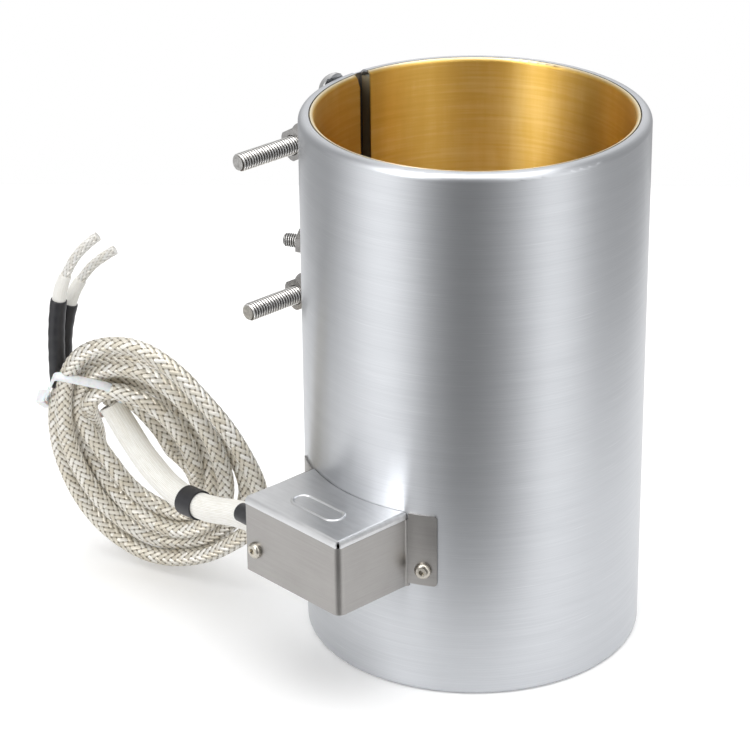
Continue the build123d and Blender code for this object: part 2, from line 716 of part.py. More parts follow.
with BuildPart() as spare_outlet_cap:
    with BuildSketch(cap_place):
        Circle(cap_diameter / 2)
    extrude(amount=cap_reach)
    fillet(spare_outlet_cap.edges().group_by(Axis.X)[0], edge_break)
    with BuildSketch(cap_place):
        Circle(cap_hole_radius - seam_gap)
    extrude(amount=-box_sheet - grommet_flange)
finish(spare_outlet_cap.part, "spare_outlet_cap")

# Coil frame: the loose coil stands on its edge, a little off upright
coil_normal_tilt = radians(coil_lean)
coil_across = Vector(cos(radians(coil_azimuth)), sin(radians(coil_azimuth)), 0)
coil_side = Vector(-sin(radians(coil_azimuth)), cos(radians(coil_azimuth)), 0)
coil_up = Vector(0, 0, cos(coil_normal_tilt)) - coil_side * sin(coil_normal_tilt)
coil_axis = coil_across.cross(coil_up)
section_drop = sqrt(
    (coil_half_width * cos(coil_normal_tilt)) ** 2 + (coil_half_depth * sin(coil_normal_tilt)) ** 2
)
coil_z = floor_clearance + coil_radius * cos(coil_normal_tilt) + section_drop
coil_centre = Vector(coil_x, coil_y, coil_z)

with BuildPart() as lead_coil:
    with BuildSketch(Plane(origin=coil_centre, x_dir=coil_across, z_dir=coil_up * -1)):
        with Locations((coil_radius, 0)):
            Ellipse(coil_half_width, coil_half_depth)
    revolve(axis=Axis(coil_centre, coil_axis))
finish(lead_coil.part, "lead_coil")

# Cable tie round the coil where the lead's two ends leave it
tie_out = coil_across * cos(radians(tie_angle)) + coil_up * sin(radians(tie_angle))
tie_along = coil_up * cos(radians(tie_angle)) - coil_across * sin(radians(tie_angle))
tie_centre = coil_centre + tie_out * coil_radius
tie_plane = Plane(origin=tie_centre, x_dir=tie_out, z_dir=tie_along)
with BuildPart() as cable_tie:
    with BuildSketch(tie_plane):
        Ellipse(coil_half_width + layer_gap + tie_thickness, coil_half_depth + layer_gap + tie_thickness)
        Ellipse(coil_half_width + layer_gap, coil_half_depth + layer_gap, mode=Mode.SUBTRACT)
    extrude(amount=tie_width / 2, both=True)
    with BuildSketch(tie_plane):
        with Locations((coil_half_width + layer_gap + tie_head / 2, 0)):
            RectangleRounded(tie_head, tie_head, edge_break)
        Ellipse(
            coil_half_width + layer_gap + tie_thickness / 2,
            coil_half_depth + layer_gap + tie_thickness / 2,
            mode=Mode.SUBTRACT,
        )
    extrude(amount=tie_head / 2, both=True)
finish(cable_tie.part, "cable_tie")

# White sleeve from inside the box to the tie, with a shrink band round it
outlet_y = box_front + outlet_inset
outlet_z = box_bottom + outlet_rise
sleeve_start = -half_box + sleeve_start_depth
sleeve_route = [
    (sleeve_start, outlet_y, outlet_z),
    (-47.0, outlet_y, outlet_z),
    (-70.0, -88.2, 54.6),
    (-92.0, -88.0, 53.2),
    (-111.0, -87.6, 61.5),
    (-124.0, -87.2, 70.5),
    (-132.0, -90.5, 84.0),
]
lead_sleeve = cord_tube(sleeve_route, sleeve_tube_diameter, "lead_sleeve")
finish(lead_sleeve, "lead_sleeve")

with BuildPart() as sleeve_band:
    with BuildLine() as sleeve_path:
        FilletPolyline(*sleeve_route, radius=soft_radii(sleeve_route))
    whole_path = sleeve_path.wire()
    band_middle = whole_path.param_at_point(between(sleeve_route[2], sleeve_route[3], 0.5))
    band_share = band_length / 2 / whole_path.length
    band_path = whole_path.trim(band_middle - band_share, band_middle + band_share)
    with BuildSketch(Plane(origin=band_path @ 0, z_dir=band_path % 0)):
        Circle(sleeve_tube_radius + running_clearance + band_wall)
        Circle(sleeve_tube_radius + running_clearance, mode=Mode.SUBTRACT)
    sweep(path=band_path)
finish(sleeve_band.part, "sleeve_band")

# Leads inside the box, from the ring terminals to the sleeve's inner end
inner_lead_y = -(shell_radius + block_depth + inner_lead_diameter / 2 + 2 * seam_gap)
inner_lead_top = post_height - ring_diameter / 2 - seam_gap
inner_routes = [
    [
        (-post_spacing / 2, inner_lead_y, inner_lead_top),
        (-post_spacing / 2, inner_lead_y - seam_gap, inner_lead_top - inner_lead_drops["left"]),
        (-half_box + inner_lead_turns["left"], outlet_y + inner_lead_spread, outlet_z),
        (sleeve_start, outlet_y + inner_lead_spread, outlet_z),
    ],
    [
        (post_spacing / 2, inner_lead_y, inner_lead_top),
        (post_spacing / 2, inner_lead_y - inner_lead_spread, inner_lead_top - inner_lead_drops["right"]),
        (post_spacing / 2 - inner_lead_reach, outlet_y - 2 * inner_lead_spread, outlet_z - inner_lead_sag),
        (-half_box + inner_lead_turns["right"], outlet_y - inner_lead_spread, outlet_z),
        (sleeve_start, outlet_y - inner_lead_spread, outlet_z),
    ],
]
with BuildPart() as inner_leads:
    for inner_points in inner_routes:
        with BuildLine() as inner_route:
            FilletPolyline(*inner_points, radius=inner_lead_bend)
        inner_path = inner_route.wire()
        with BuildSketch(Plane(origin=inner_path @ 0, z_dir=inner_path % 0)):
            Circle(inner_lead_diameter / 2)
        sweep(path=inner_path)
finish(inner_leads.part, "inner_leads")

# The lead's two ends: shrink tube, white sleeve and bare lead, on one route each
tail_routes = {
    "left": [
        (-150.5, -102.6, 91.0),
        (-150.6, -102.7, 110.0),
        (-149.2, -101.2, 134.0),
        (-147.0, -99.2, 144.5),
        (-142.6, -94.8, 155.0),
        (-137.0, -89.2, 161.0),
    ],
    "right": [
        (-154.7, -93.0, 92.5),
        (-156.0, -94.2, 106.0),
        (-153.4, -91.6, 128.0),
        (-150.6, -88.6, 137.5),
        (-146.0, -84.0, 145.5),
        (-140.0, -78.0, 150.5),
    ],
}
for side, points in tail_routes.items():
    shrink_end = between(points[1], points[2], 0.82)
    tail_end = between(points[2], points[3], 0.75)
    shrink_tube = cord_tube([points[0], points[1], shrink_end], shrink_diameters[side], side + "_shrink_tube")
    finish(shrink_tube, side + "_shrink_tube")
    tail_sleeve = cord_tube([shrink_end, points[2], tail_end], tail_sleeve_diameter, side + "_tail_sleeve")
    finish(tail_sleeve, side + "_tail_sleeve")
    tail_lead = cord_tube([tail_end, *points[3:]], tail_lead_diameter, side + "_tail_lead")
    finish(tail_lead, side + "_tail_lead")
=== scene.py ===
from math import cos, hypot, pi, radians, sin, sqrt, tau

import bpy
import numpy as np
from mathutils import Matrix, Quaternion, Vector


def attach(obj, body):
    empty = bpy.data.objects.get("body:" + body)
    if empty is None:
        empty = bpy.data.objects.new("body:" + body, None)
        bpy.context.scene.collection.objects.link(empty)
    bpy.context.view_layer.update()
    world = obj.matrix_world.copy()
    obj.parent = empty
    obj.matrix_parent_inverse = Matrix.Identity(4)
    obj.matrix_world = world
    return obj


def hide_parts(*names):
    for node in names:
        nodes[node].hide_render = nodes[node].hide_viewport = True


# Band heater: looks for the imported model. Metres, in the model's own frame:
# origin on the bore axis at the bottom edge, +Z up, split at -X, terminal box at -Y.

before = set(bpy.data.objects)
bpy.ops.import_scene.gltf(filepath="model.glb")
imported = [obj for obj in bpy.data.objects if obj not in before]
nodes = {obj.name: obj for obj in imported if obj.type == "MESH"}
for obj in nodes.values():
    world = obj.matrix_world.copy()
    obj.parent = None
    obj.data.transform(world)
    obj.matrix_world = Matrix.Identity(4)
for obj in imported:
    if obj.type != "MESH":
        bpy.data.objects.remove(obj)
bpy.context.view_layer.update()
scene = bpy.context.scene
MM = 0.001

# Sizes that the pieces below share
shell_radius = 71.5 * MM
bore_radius = 65.0 * MM
bolt_x = -80.9 * MM
bolt_heights = {"upper": 201.0 * MM, "lower": 132.5 * MM}
lead_diameter = 7.6 * MM
sleeve_diameter = 11.6 * MM
tail_diameter = 4.3 * MM
shrink_diameters = {"left": 7.4 * MM, "right": 7.2 * MM}
tail_sleeve_radius = 3.0 * MM
# Where a tail's shrink tube and its white sleeve end, as shares of its length
shrink_ends = {"left": 0.53, "right": 0.5}
tail_sleeve_ends = {"left": 0.69, "right": 0.68}


def new_object(name, data):
    """Put a mesh, curve, lamp or camera in the scene as an object of its own."""
    made = bpy.data.objects.new(name, data)
    scene.collection.objects.link(made)
    return made


def mesh_object(name, places, faces, smooth=None, layer_name=None, layer_places=None):
    """Object from points and faces. smooth tells for each face whether it is shaded smooth."""
    mesh = bpy.data.meshes.new(name)
    mesh.from_pydata([tuple(place) for place in places], [], faces)
    if layer_name:
        layer = mesh.uv_layers.new(name=layer_name)
        layer.data.foreach_set("uv", np.array(layer_places, np.float32).ravel())
    if smooth is not None:
        mesh.polygons.foreach_set("use_smooth", np.array(smooth))
    mesh.update()
    return new_object(name, mesh)


# Camera at the photograph's angle
camera_place = Vector((0.7930, -0.7930, 0.6400))
camera_aim = Vector((-0.66307, 0.61589, -0.42545))
camera_roll = -0.010244
camera_data = bpy.data.cameras.new("camera")
camera_data.sensor_width = 36.0
camera_data.lens = 141.63
camera_data.clip_start = 0.05
camera_data.clip_end = 20.0
camera = new_object("camera", camera_data)
camera.location = camera_place
camera.rotation_mode = "QUATERNION"
camera.rotation_quaternion = camera_aim.to_track_quat("-Z", "Y") @ Quaternion((0, 0, 1), camera_roll)
scene.camera = camera


# Lines and tubes
def smooth_line(name, points, steps=12):
    """Points along the smooth line of a cord: a NURBS spline with the route's points as control points."""
    curve = bpy.data.curves.new(name, "CURVE")
    curve.dimensions = "3D"
    curve.resolution_u = steps
    spline = curve.splines.new("NURBS")
    spline.points.add(len(points) - 1)
    for place, point in zip(spline.points, points):
        place.co = (*point, 1.0)
    spline.order_u = 3
    spline.use_endpoint_u = True
    holder = new_object(name, curve)
    bpy.context.view_layer.update()
    line_mesh = bpy.data.meshes.new_from_object(holder)
    line = [Vector(v.co) for v in line_mesh.vertices]
    bpy.data.meshes.remove(line_mesh)
    bpy.data.objects.remove(holder)
    return line


def even_line(line, step):
    """The same line with points a fixed step apart, for the rings of a tube."""
    places = np.array(line)
    lengths = np.r_[0, np.cumsum(np.linalg.norm(np.diff(places, axis=0), axis=1))]
    count = max(2, int(round(lengths[-1] / step)))
    marks = np.linspace(0, lengths[-1], count + 1)
    return np.stack([np.interp(marks, lengths, places[:, axis]) for axis in range(3)], -1)


def tube_frames(points):
    """Sideways and upward directions along a line, turned no more than the line itself turns."""
    tangents = np.gradient(points, axis=0)
    tangents /= np.linalg.norm(tangents, axis=1)[:, None]
    side = np.cross(tangents[0], (0.0, 0.3, 1.0))
    side /= np.linalg.norm(side)
    sides = []
    for tangent in tangents:
        side = side - tangent * (side @ tangent)
        side /= np.linalg.norm(side)
        sides.append(side)
    sides = np.array(sides)
    return tangents, sides, np.cross(tangents, sides)


def tube_mesh(name, points, around, height, thick=0.0, capped=True):
    """Tube along points. height gives the radius for grids of distance along and turn around (0 to 1).
    A tube with a wall thickness is open, with an inner wall and flat ends."""
    points = np.array(points)
    tangents, sides, ups = tube_frames(points)
    along = np.r_[0, np.cumsum(np.linalg.norm(np.diff(points, axis=0), axis=1))]
    turn = np.arange(around) / around
    grid_along, grid_turn = np.meshgrid(along, turn, indexing="ij")
    radius = height(grid_along, grid_turn)
    walls = [radius]
    if thick:
        walls.append(radius - thick)
    places = []
    for wall in walls:
        ring = (
            points[:, None]
            + sides[:, None] * (wall * np.cos(tau * grid_turn))[..., None]
            + ups[:, None] * (wall * np.sin(tau * grid_turn))[..., None]
        )
        places.append(ring.reshape(-1, 3))
    count = len(points)
    faces = []
    marks = []
    for index in range(len(walls)):
        base = index * count * around
        for i in range(count - 1):
            for j in range(around):
                k = (j + 1) % around
                quad = [base + i * around + j, base + i * around + k,
                        base + (i + 1) * around + k, base + (i + 1) * around + j]
                corners = [(along[i], j), (along[i], j + 1), (along[i + 1], j + 1), (along[i + 1], j)]
                if index:
                    quad.reverse()
                    corners.reverse()
                faces.append(quad)
                marks.append(corners)
    shift = count * around
    for i, flip in ((0, False), (count - 1, True)):
        rim = [i * around + j for j in range(around)]
        if thick:
            for j in range(around):
                k = (j + 1) % around
                quad = [rim[j], rim[j] + shift, rim[k] + shift, rim[k]]
                corners = [(along[i], j), (along[i], j), (along[i], j + 1), (along[i], j + 1)]
                if flip:
                    quad.reverse()
                    corners.reverse()
                faces.append(quad)
                marks.append(corners)
        elif capped:
            cap = list(rim) if flip else list(reversed(rim))
            faces.append(cap)
            marks.append([(along[i], j) for j in (range(around) if flip else reversed(range(around)))])
    flat = [(turn_index / around, distance) for corners in marks for distance, turn_index in corners]
    smooth = [len(face) == 4 for face in faces]
    return mesh_object(name, np.concatenate(places).tolist(), faces, smooth, "cord", flat)


def strap_mesh(name, centre, across, toward, spots, wide, deep, width, thick, around=120):
    """Flat strap pulled taut round strands. Each spot is where a strand crosses the strap's plane, as its
    distances along the directions across and toward; wide and deep are a strand's half sizes there."""
    axis = across.cross(toward).normalized()
    half_section = [(0.0, -0.5), (0.25, -0.5), (0.75, -0.42), (1.0, -0.3)]
    section = half_section + [(out, -side) for out, side in reversed(half_section)]
    places = []
    for i in range(around):
        angle = tau * i / around
        c, s = cos(angle), sin(angle)
        reach = hypot(wide * c, deep * s)
        far = max(spots, key=lambda spot: spot[0] * c + spot[1] * s)
        edge = (far[0] + wide * wide * c / reach, far[1] + deep * deep * s / reach)
        for out, side in section:
            grow = out * thick
            at = centre + across * (edge[0] + grow * c) + toward * (edge[1] + grow * s)
            places.append(at + axis * side * width)
    count = len(section)
    faces = []
    for i in range(around):
        for j in range(count):
            k, m = (i + 1) % around, (j + 1) % count
            faces.append((i * count + j, k * count + j, k * count + m, i * count + m))
    return mesh_object(name, places, faces, [True] * len(faces))


# Routes of the sleeve and the tails, in metres. The sleeve has the points of the model's own tube;
# the tails' lower points lie up to 3 mm outside theirs, where the photograph shows them.
sleeve_route = [
    (-0.024, -0.088, 0.0615),
    (-0.047, -0.088, 0.0615),
    (-0.070, -0.0882, 0.0546),
    (-0.092, -0.088, 0.0532),
    (-0.111, -0.0876, 0.0615),
    (-0.124, -0.0872, 0.0705),
    (-0.132, -0.0905, 0.0840),
]
tail_routes = {
    "left": [
        (-0.1512, -0.1040, 0.091),
        (-0.1514, -0.1042, 0.110),
        (-0.1497, -0.1022, 0.134),
        (-0.1470, -0.0992, 0.1445),
        (-0.1426, -0.0948, 0.155),
        (-0.1370, -0.0892, 0.161),
    ],
    "right": [
        (-0.1562, -0.0955, 0.0925),
        (-0.1572, -0.0964, 0.106),
        (-0.1541, -0.0929, 0.128),
        (-0.1506, -0.0886, 0.1375),
        (-0.1460, -0.0840, 0.1455),
        (-0.1400, -0.0780, 0.1505),
    ],
}

# Coil frame: loose turns stand on edge and are gathered by a tie at their upper left
coil_across = Vector((cos(radians(20)), sin(radians(20)), 0))
coil_side = Vector((-sin(radians(20)), cos(radians(20)), 0))
coil_up = Vector((0, 0, cos(radians(10)))) - coil_side * sin(radians(10))
coil_axis = coil_across.cross(coil_up)
coil_centre = Vector((-121.7, -79.4, 56.08)) * MM
tie_angle = 141.0
mark_step = 30.0
rows_per_turn = 24
# The smooth line cuts its control points' corners a little, so they lie slightly further out
spline_allowance = 1.008
floor_clearance = 0.4 * MM
# Each turn, innermost first, at every mark clockwise from the tie: its radius as the camera sees it
# and how far it lies towards the coil's near side, both in millimetres
seen_radii = [
    [33.0, 40.0, 22.6, 17.5, 15.5, 15.5, 20.0, 26.0, 29.0, 26.0, 24.0, 26.0],
    [33.0, 38.3, 33.0, 27.2, 24.0, 23.5, 28.0, 33.0, 38.0, 36.0, 32.0, 33.0],
    [37.0, 43.6, 43.4, 36.0, 31.4, 30.7, 32.0, 29.2, 23.0, 20.2, 19.6, 22.5],
    [38.0, 47.6, 49.2, 41.8, 38.0, 38.5, 37.5, 36.5, 32.5, 29.6, 28.8, 31.2],
    [43.0, 54.0, 56.4, 45.7, 46.7, 50.5, 44.0, 44.0, 43.2, 40.5, 38.4, 39.0],
    [40.5, 57.0, 62.2, 50.0, 50.6, 58.0, 49.5, 50.4, 54.2, 51.6, 46.6, 46.0, 50.5],
]
near_sides = [
    [-2, -6, -5, -5, -6, -8, -12, -13, -12, -11, -10, -7],
    [-4, -3, -3, -4, -5, -7, -9, -9, -8, -8, -8, -6],
    [-3, -1.5, -1.5, -2, -3, -4, -4, -2, -1, 0, 0, 1],
    [2, 0, 0, -1, -1.5, -2, -2, -1, 0, 0, 0, 1],
    [-2, 1.5, 1.5, 0, -1, -2, -1, 0, 0, 0, 0, 1],
    [5, 4, 3, 2, 2, 0, 0, 1, 2.5, 1, 0, 0, -1],
]


def settle(radii, sides, lean, sweeps=200):
    """Push turns that lie in each other apart, smooth them along the cord, and keep how they look."""
    apart = lead_diameter / MM
    look = radii - lean * sides
    for sweep in range(sweeps):
        for section in range(rows_per_turn):
            rows = range(section, len(radii), rows_per_turn)
            for first in rows:
                for second in range(first + rows_per_turn, len(radii), rows_per_turn):
                    out = radii[second] - radii[first]
                    across = sides[second] - sides[first]
                    distance = max(hypot(out, across), 0.01)
                    if distance < apart:
                        push = (apart - distance) / 2 / distance
                        radii[first] -= out * push
                        radii[second] += out * push
                        sides[first] -= across * push
                        sides[second] += across * push
        for values, share in ((sides, 0.25), (radii, 0.2)):
            values[1:-1] += share * ((values[:-2] + values[2:]) / 2 - values[1:-1])
        radii += 0.25 * (look - (radii - lean * sides))
    return radii, sides


def coil_route():
    """Control points of the coil's turns, clockwise from the tie as the camera sees it."""
    marks = np.arange(sum(len(row) for row in seen_radii)) * mark_step
    travel = np.linspace(0, marks[-1], int(marks[-1] / 360 * rows_per_turn) + 1)
    angles = np.radians(tie_angle - travel)
    seen = np.interp(travel, marks, np.concatenate(seen_radii))
    sides = np.interp(travel, marks, np.concatenate(near_sides))
    sight = (camera_place - coil_centre).normalized()
    outward_sight = sight.dot(coil_across) * np.cos(angles) + sight.dot(coil_up) * np.sin(angles)
    lean = outward_sight / sight.dot(coil_axis)
    radii, sides = settle(seen + lean * sides, sides, lean)
    route = []
    for angle, radius, side in zip(angles, radii, sides):
        out = coil_across * cos(angle) + coil_up * sin(angle)
        point = coil_centre + (out * radius * spline_allowance + coil_axis * side) * MM
        point.z = max(point.z, lead_diameter / 2 + floor_clearance)
        route.append(tuple(point))
    return [sleeve_route[-1]] + route[2:]


# Braids: how many bundles run each way round, and half the length of a bundle's cell along the cord
braid_bundles = 8
braid_cell = 1.95 * MM
tail_bundles = 8
tail_cell = 1.6 * MM


def braid_crown(along, turn, bundles, cell):
    """Height across a braid's upper bundles, 0 to 1. They run both ways, over two and under two."""
    first = turn * bundles + along / cell / 2
    second = turn * bundles - along / cell / 2
    over = np.mod(np.floor(first) + np.floor(second), 4) < 2
    return np.abs(np.where(over, np.sin(pi * np.mod(first, 1)), np.sin(pi * np.mod(second, 1))))


def braid_radius(along, turn):
    """Radius of the braided lead."""
    crown = braid_crown(along, turn, braid_bundles, braid_cell)
    return lead_diameter / 2 - 0.5 * MM + 0.5 * MM * crown ** 0.7


lead_line = even_line(smooth_line("lead_line", coil_route(), steps=10), 0.98 * MM)
braided_lead = tube_mesh("braided_lead", lead_line, 64, braid_radius)


def lens_block(name, centre, axes, halves, soften=0.3, cells=8):
    """Rounded block: a cube drawn in towards an ellipsoid by the share soften."""
    places = []
    faces = []
    for axis in range(3):
        for sign in (-1, 1):
            base = len(places)
            for i in range(cells + 1):
                for j in range(cells + 1):
                    local = [0.0, 0.0, 0.0]
                    local[axis] = sign
                    local[(axis + 1) % 3] = 2 * i / cells - 1
                    local[(axis + 2) % 3] = 2 * j / cells - 1
                    cube = Vector(local)
                    reach = cube.normalized().lerp(cube, 1 - soften)
                    offsets = (axes[k] * halves[k] * reach[k] for k in range(3))
                    places.append(centre + sum(offsets, Vector()))
            for i in range(cells):
                for j in range(cells):
                    a = base + i * (cells + 1) + j
                    quad = (a, a + cells + 1, a + cells + 2, a + 1)
                    faces.append(quad if sign > 0 else tuple(reversed(quad)))
    return mesh_object(name, places, faces, [True] * len(faces))


def coil_way(angle):
    """Direction out from the coil's centre at an angle in its plane."""
    return coil_across * cos(radians(angle)) + coil_up * sin(radians(angle))


def sleeve_radius(along, turn):
    """Radius of the glass-fibre sleeve: fine ribs along it and a slightly uneven lay."""
    ribs = np.abs(np.sin(pi * turn * 26))
    lay = np.sin(along / MM * 0.31) * 0.12 + np.sin(along / MM * 0.13 + tau * turn) * 0.15
    return sleeve_diameter / 2 - (0.3 - 0.22 * ribs - lay * 0.5) * MM


sleeve_line = even_line(smooth_line("sleeve_line", sleeve_route), 1.0 * MM)
outlet_sleeve = tube_mesh("outlet_sleeve", sleeve_line, 104, sleeve_radius, thick=0.9 * MM)


def tail_radius(along, turn):
    """Radius of a thin braided lead end."""
    crown = braid_crown(along, turn, tail_bundles, tail_cell)
    return tail_diameter / 2 - 0.3 * MM + 0.3 * MM * np.sqrt(crown)


# Tails: a thin braided end each, in a white sleeve whose foot is tucked into a shrink tube
tucked_rings = 8
tail_pieces = {}
for side, route in tail_routes.items():
    line = smooth_line(side + "_tail_line", route, steps=16)
    rings = even_line(line, 0.5 * MM)
    tail = tube_mesh(side + "_tail", rings, 32, tail_radius)

    def shrunk(along, turn, wide=shrink_diameters[side]):
        """Radius of a shrink tube: slightly waisted, with a soft turned-in end."""
        return wide / 2 - 0.12 * MM * np.sin(along / MM * 0.5) ** 2 - 0.1 * MM * np.cos(tau * turn * 2) ** 2

    def sleeved(along, turn):
        """Radius of the white sleeve on a tail, narrowing to its end."""
        end = along.max()
        taper = 0.35 * MM * (along / end) ** 3
        return tail_sleeve_radius - taper - 0.12 * MM * np.abs(np.sin(pi * turn * 14))

    last_shrink = int(len(rings) * shrink_ends[side])
    last_sleeve = int(len(rings) * tail_sleeve_ends[side])
    shrink = tube_mesh(side + "_shrink", rings[: last_shrink + 1], 40, shrunk, thick=0.7 * MM)
    tail_sleeve = tube_mesh(
        side + "_white_sleeve", rings[last_shrink - tucked_rings : last_sleeve + 1], 56, sleeved, thick=0.6 * MM
    )
    tail_pieces[side] = (tail, rings, shrink, tail_sleeve)


# Cable tie: a strap askew round the bundle, with its square head at the outer end
tie_skew = radians(57)
tie_across = coil_way(192)
tie_toward = (coil_axis * cos(tie_skew) + coil_way(102) * sin(tie_skew)).normalized()
tie_axis = tie_across.cross(tie_toward).normalized()
tie_centre = coil_centre + coil_way(143) * 41.5 * MM
tie_reach = 26 * MM
tie_slab = 0.8 * MM
tie_width = 4.0 * MM
tie_thickness = 1.2 * MM
tie_head_halves = (2.4 * MM, 3.9 * MM, 3.4 * MM)
tie_head_shift = (2.0 * MM, 1.5 * MM)
tie_spots = []
tied_lines = [lead_line] + [tail_pieces[side][1] for side in tail_pieces]
for place in [tuple(spot) for line in tied_lines for spot in line]:
    away = Vector(place) - tie_centre
    if abs(away.dot(tie_axis)) < tie_slab and away.length < tie_reach:
        tie_spots.append((away.dot(tie_across), away.dot(tie_toward)))
strand_half = lead_diameter / 2 + 0.15 * MM
tie_strap = strap_mesh(
    "tie_strap", tie_centre, tie_across, tie_toward, tie_spots,
    strand_half, strand_half / cos(tie_skew) * 0.8, tie_width, tie_thickness,
)
tie_end = max(tie_spots)
tie_head_centre = (
    tie_centre
    + tie_across * (tie_end[0] + strand_half + tie_head_shift[0])
    + tie_toward * (tie_end[1] + tie_head_shift[1])
)
tie_head = lens_block("tie_head", tie_head_centre, (tie_across, tie_toward, tie_axis), tie_head_halves)


# Materials
class Tree:
    """Short calls for building a material's node tree."""

    def __init__(self, name):
        self.material = bpy.data.materials.new(name)
        self.material.use_nodes = True
        self.nodes = self.material.node_tree.nodes
        self.links = self.material.node_tree.links
        self.shader = self.nodes["Principled BSDF"]

    def link(self, value, socket):
        """Set a socket to a number or colour, or join another node's output to it."""
        if isinstance(value, bpy.types.NodeSocket):
            self.links.new(value, socket)
        else:
            socket.default_value = value

    def math(self, operation, *values):
        node = self.nodes.new("ShaderNodeMath")
        node.operation = operation
        for value, socket in zip(values, node.inputs):
            self.link(value, socket)
        return node.outputs[0]

    def axes(self, vector=None):
        """The three numbers of a place; the object's own coordinates by default."""
        node = self.nodes.new("ShaderNodeSeparateXYZ")
        if vector is None:
            vector = self.nodes.new("ShaderNodeTexCoord").outputs["Object"]
        self.links.new(vector, node.inputs[0])
        return node.outputs

    def vector(self, x, y, z):
        node = self.nodes.new("ShaderNodeCombineXYZ")
        for value, socket in zip((x, y, z), node.inputs):
            self.link(value, socket)
        return node.outputs[0]

    def noise(self, vector, scale, detail=3.0, roughness=0.55):
        node = self.nodes.new("ShaderNodeTexNoise")
        self.links.new(vector, node.inputs["Vector"])
        node.inputs["Scale"].default_value = scale
        node.inputs["Detail"].default_value = detail
        node.inputs["Roughness"].default_value = roughness
        return node.outputs["Fac"]

    def ramp(self, value, stops):
        node = self.nodes.new("ShaderNodeValToRGB")
        self.link(value, node.inputs[0])
        elements = node.color_ramp.elements
        while len(elements) < len(stops):
            elements.new(0.5)
        for element, (position, colour) in zip(elements, stops):
            element.position = position
            element.color = (*colour, 1.0) if len(colour) == 3 else colour
        return node.outputs["Color"]

    def scale(self, value, low, high, start=0.0, end=1.0):
        """Map a value from the range start..end to low..high."""
        node = self.nodes.new("ShaderNodeMapRange")
        self.link(value, node.inputs["Value"])
        node.inputs["From Min"].default_value = start
        node.inputs["From Max"].default_value = end
        node.inputs["To Min"].default_value = low
        node.inputs["To Max"].default_value = high
        return node.outputs["Result"]

    def mix(self, share, first, second):
        node = self.nodes.new("ShaderNodeMix")
        node.data_type = "RGBA"
        self.link(share, node.inputs[0])
        self.link(first if not isinstance(first, tuple) else (*first, 1.0), node.inputs[6])
        self.link(second if not isinstance(second, tuple) else (*second, 1.0), node.inputs[7])
        return node.outputs[2]

    def mix_number(self, share, first, second):
        """Mix two numbers."""
        node = self.nodes.new("ShaderNodeMix")
        self.link(share, node.inputs[0])
        self.link(first, node.inputs[2])
        self.link(second, node.inputs[3])
        return node.outputs[0]

    def bump(self, height, distance, strength=1.0):
        node = self.nodes.new("ShaderNodeBump")
        node.inputs["Strength"].default_value = strength
        node.inputs["Distance"].default_value = distance
        self.links.new(height, node.inputs["Height"])
        self.links.new(node.outputs[0], self.shader.inputs["Normal"])

    def set(self, **values):
        """Set the shader's sockets: names with underscores for spaces."""
        for name, value in values.items():
            socket = self.shader.inputs[name.replace("_", " ")]
            if isinstance(value, tuple) and len(value) == 3:
                value = (*value, 1.0)
            self.link(value, socket)
        return self.material


def stretch(tree, first, second, first_scale, second_scale, third=0.0):
    """Place for a noise that is drawn out: two coordinates with a scale each, and a fixed third one."""
    first = tree.math("MULTIPLY", first, first_scale)
    second = tree.math("MULTIPLY", second, second_scale)
    return tree.vector(first, second, third)


def radial_grain(tree):
    """Brushing round the bore axis: a tangent about Z for the anisotropic highlight."""
    tangent = tree.nodes.new("ShaderNodeTangent")
    tangent.direction_type = "RADIAL"
    tangent.axis = "Z"
    tree.links.new(tangent.outputs[0], tree.shader.inputs["Tangent"])


def mapped_place(tree, name):
    """Place from a piece's own map, as three numbers of which the first two are used."""
    place = tree.nodes.new("ShaderNodeUVMap")
    place.uv_map = name
    return tree.axes(place.outputs[0])


def round_place(tree):
    """Place on a surface round the bore axis: distance round it, height, x and y, in metres."""
    x, y, z = tree.axes()
    turn = tree.math("ARCTAN2", y, x)
    round_way = tree.math("MULTIPLY", turn, shell_radius)
    return round_way, z, x, y


